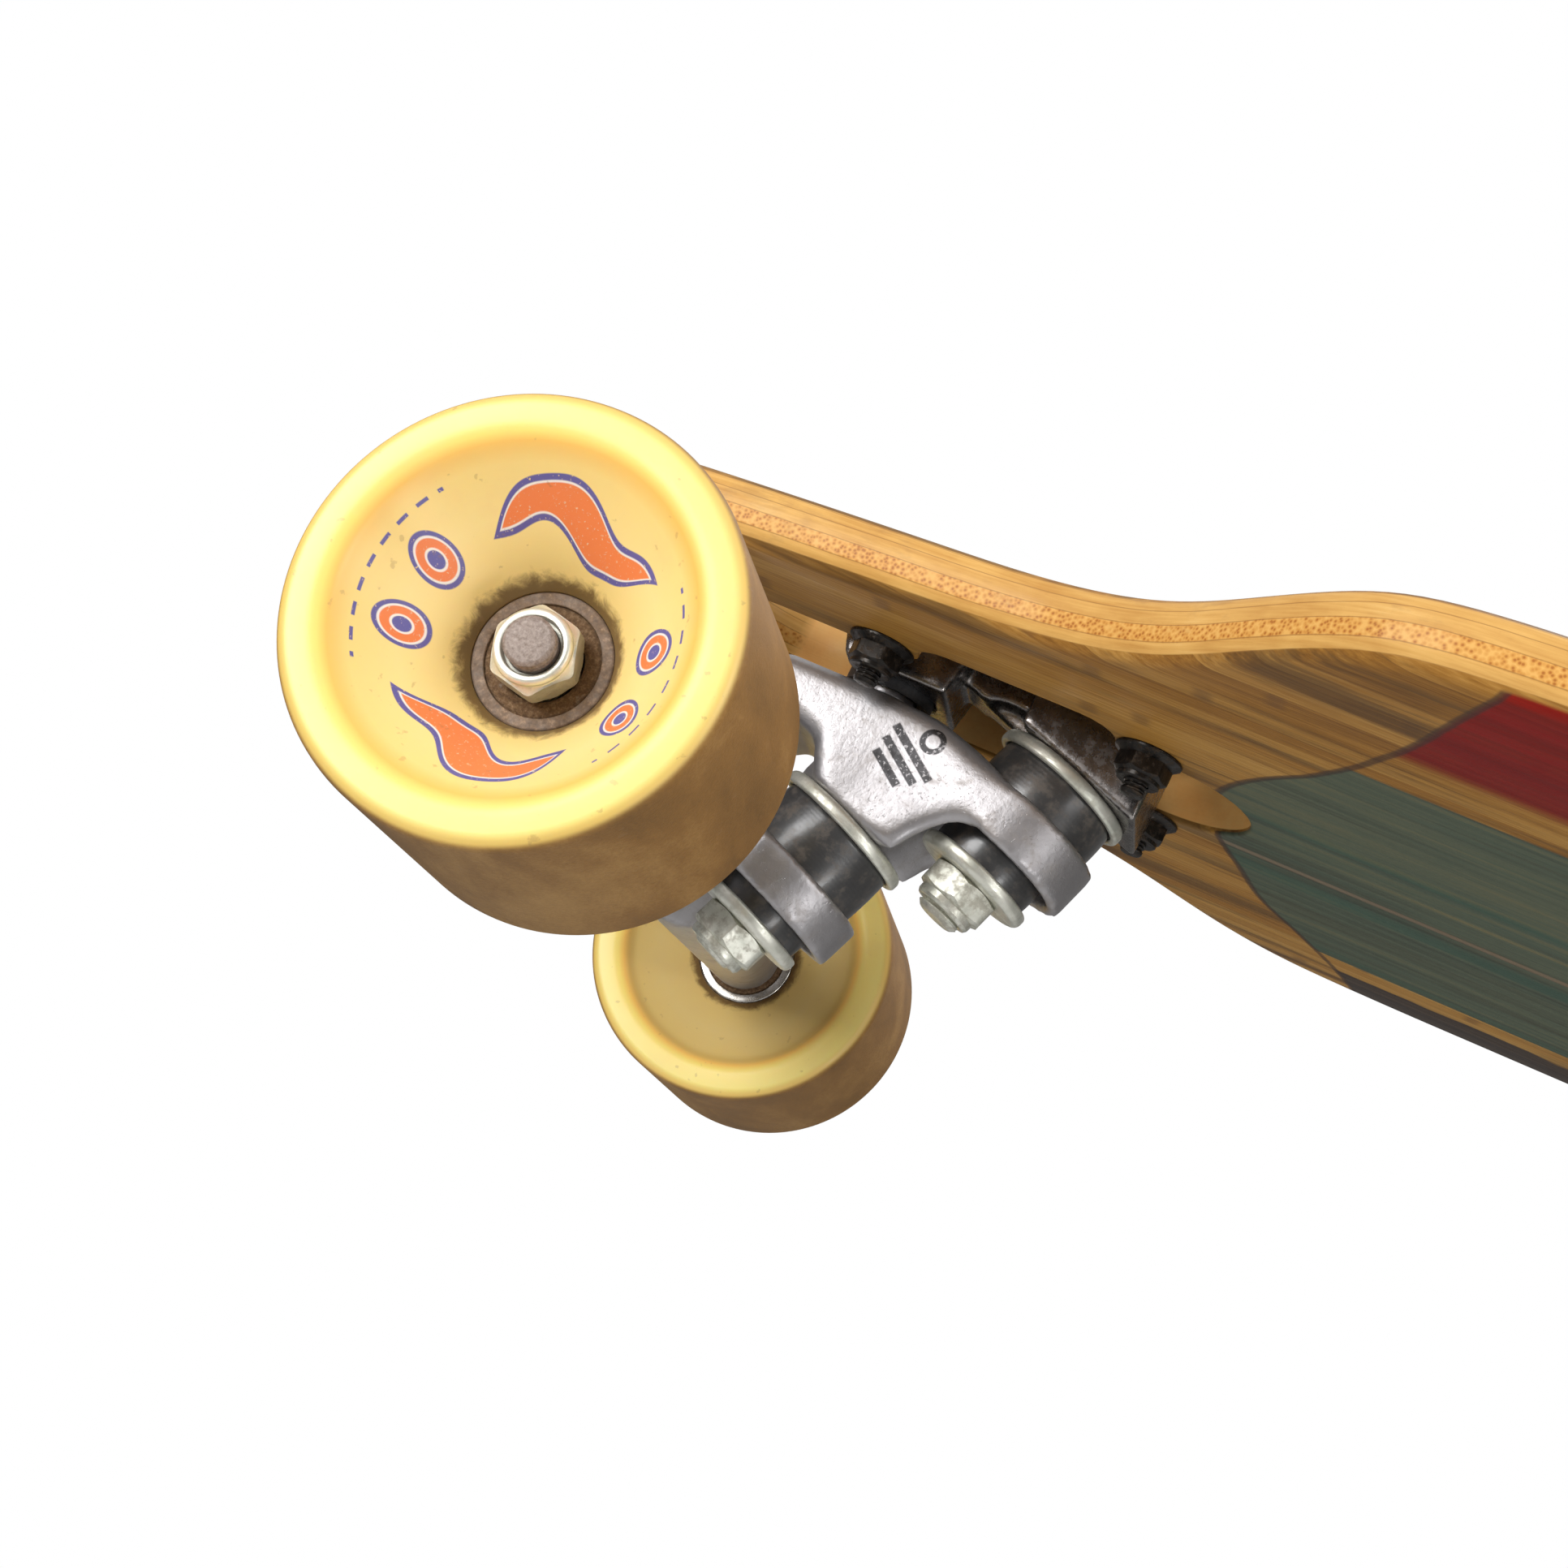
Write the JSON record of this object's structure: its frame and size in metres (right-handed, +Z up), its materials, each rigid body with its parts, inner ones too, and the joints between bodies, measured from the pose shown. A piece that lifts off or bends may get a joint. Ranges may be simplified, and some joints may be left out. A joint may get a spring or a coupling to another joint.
{
  "type": "skateboard",
  "caption": "Drop-through bamboo longboard with sprung two-stage steering trucks, free-spinning urethane wheels on ball bearings, and a gritted standing deck.",
  "frame": {"origin": "on the ground, centred under the deck", "axes": "+X along the board towards the rear truck, +Y across the deck, +Z up"},
  "size_m": [0.926, 0.271, 0.1036],
  "materials": {
    "bamboo": "satin varnish",
    "stained_bamboo": "satin varnish over coloured stain",
    "grip": "coarse grit",
    "black_oxide": "black oxide",
    "zinc": "zinc plate",
    "cast_alloy": "fine cast, tumbled",
    "dark_alloy": "black nickel",
    "bushing": "glossy moulded",
    "pivot_cup": "moulded",
    "bearing_steel": "ground",
    "urethane": "translucent, worn tread"
  },
  "bodies": {
    "root": {"deck_bottom_ply": "stained_bamboo", "deck_core": "bamboo", "deck_top_ply": "bamboo", "grip_tape": "grip", "mounting_bolts": "black_oxide", "mounting_nuts": "black_oxide", "front_baseplate": "dark_alloy", "front_baseplate_pivot_cup": "pivot_cup", "front_upper_kingpin": "zinc", "front_upper_cup_washers": "zinc", "front_upper_board_bushing": "bushing", "front_upper_road_bushing": "bushing", "front_upper_kingpin_nut": "zinc", "rear_baseplate": "dark_alloy", "rear_baseplate_pivot_cup": "pivot_cup", "rear_upper_kingpin": "zinc", "rear_upper_cup_washers": "zinc", "rear_upper_board_bushing": "bushing", "rear_upper_road_bushing": "bushing", "rear_upper_kingpin_nut": "zinc"},
    "front_bridge": {"front_bridge": "cast_alloy", "front_bridge_pivot_cup": "pivot_cup", "front_lower_kingpin": "zinc", "front_lower_cup_washers": "zinc", "front_lower_board_bushing": "bushing", "front_lower_road_bushing": "bushing", "front_lower_kingpin_nut": "zinc"},
    "front_hanger": {"front_hanger": "cast_alloy", "front_axle": "zinc", "front_axle_nuts": "zinc", "front_speed_washers": "zinc", "front_bearing_inner_races": "bearing_steel", "front_bearing_spacers": "zinc"},
    "front_left_wheel": {"front_left_wheel": "urethane", "front_left_bearing_outer_races": "bearing_steel", "front_left_bearing_balls": "bearing_steel"},
    "front_right_wheel": {"front_right_wheel": "urethane", "front_right_bearing_outer_races": "bearing_steel", "front_right_bearing_balls": "bearing_steel"},
    "rear_bridge": {"rear_bridge": "cast_alloy", "rear_bridge_pivot_cup": "pivot_cup", "rear_lower_kingpin": "zinc", "rear_lower_cup_washers": "zinc", "rear_lower_board_bushing": "bushing", "rear_lower_road_bushing": "bushing", "rear_lower_kingpin_nut": "zinc"},
    "rear_hanger": {"rear_hanger": "cast_alloy", "rear_axle": "zinc", "rear_axle_nuts": "zinc", "rear_speed_washers": "zinc", "rear_bearing_inner_races": "bearing_steel", "rear_bearing_spacers": "zinc"},
    "rear_left_wheel": {"rear_left_wheel": "urethane", "rear_left_bearing_outer_races": "bearing_steel", "rear_left_bearing_balls": "bearing_steel"},
    "rear_right_wheel": {"rear_right_wheel": "urethane", "rear_right_bearing_outer_races": "bearing_steel", "rear_right_bearing_balls": "bearing_steel"}
  },
  "joints": [
    {"name": "front_bridge_steer", "type": "hinge", "parent": "root", "child": "front_bridge", "pos_m": [-0.3303, 0, 0.06415], "axis": [-0.8829, 0, 0.4695], "range_deg": [-10, 10], "stiffness_Nm_per_rad": 25, "deforming": ["front_upper_board_bushing", "front_upper_road_bushing"]},
    {"name": "front_hanger_steer", "type": "hinge", "parent": "front_bridge", "child": "front_hanger", "pos_m": [-0.3667, 0, 0.03715], "axis": [-0.8829, 0, 0.4695], "range_deg": [-10, 10], "stiffness_Nm_per_rad": 25, "deforming": ["front_lower_board_bushing", "front_lower_road_bushing"]},
    {"name": "front_left_spin", "type": "hinge", "parent": "front_hanger", "child": "front_left_wheel", "pos_m": [-0.3879, 0, 0.0345], "axis": [0, 1, 0], "continuous": true},
    {"name": "front_right_spin", "type": "hinge", "parent": "front_hanger", "child": "front_right_wheel", "pos_m": [-0.3879, 0, 0.0345], "axis": [0, 1, 0], "continuous": true},
    {"name": "rear_bridge_steer", "type": "hinge", "parent": "root", "child": "rear_bridge", "pos_m": [0.3303, 0, 0.06415], "axis": [0.8829, 0, 0.4695], "range_deg": [-10, 10], "stiffness_Nm_per_rad": 25, "deforming": ["rear_upper_board_bushing", "rear_upper_road_bushing"]},
    {"name": "rear_hanger_steer", "type": "hinge", "parent": "rear_bridge", "child": "rear_hanger", "pos_m": [0.3667, 0, 0.03715], "axis": [0.8829, 0, 0.4695], "range_deg": [-10, 10], "stiffness_Nm_per_rad": 25, "deforming": ["rear_lower_board_bushing", "rear_lower_road_bushing"]},
    {"name": "rear_left_spin", "type": "hinge", "parent": "rear_hanger", "child": "rear_left_wheel", "pos_m": [0.3879, 0, 0.0345], "axis": [0, 1, 0], "continuous": true},
    {"name": "rear_right_spin", "type": "hinge", "parent": "rear_hanger", "child": "rear_right_wheel", "pos_m": [0.3879, 0, 0.0345], "axis": [0, 1, 0], "continuous": true}
  ]
}
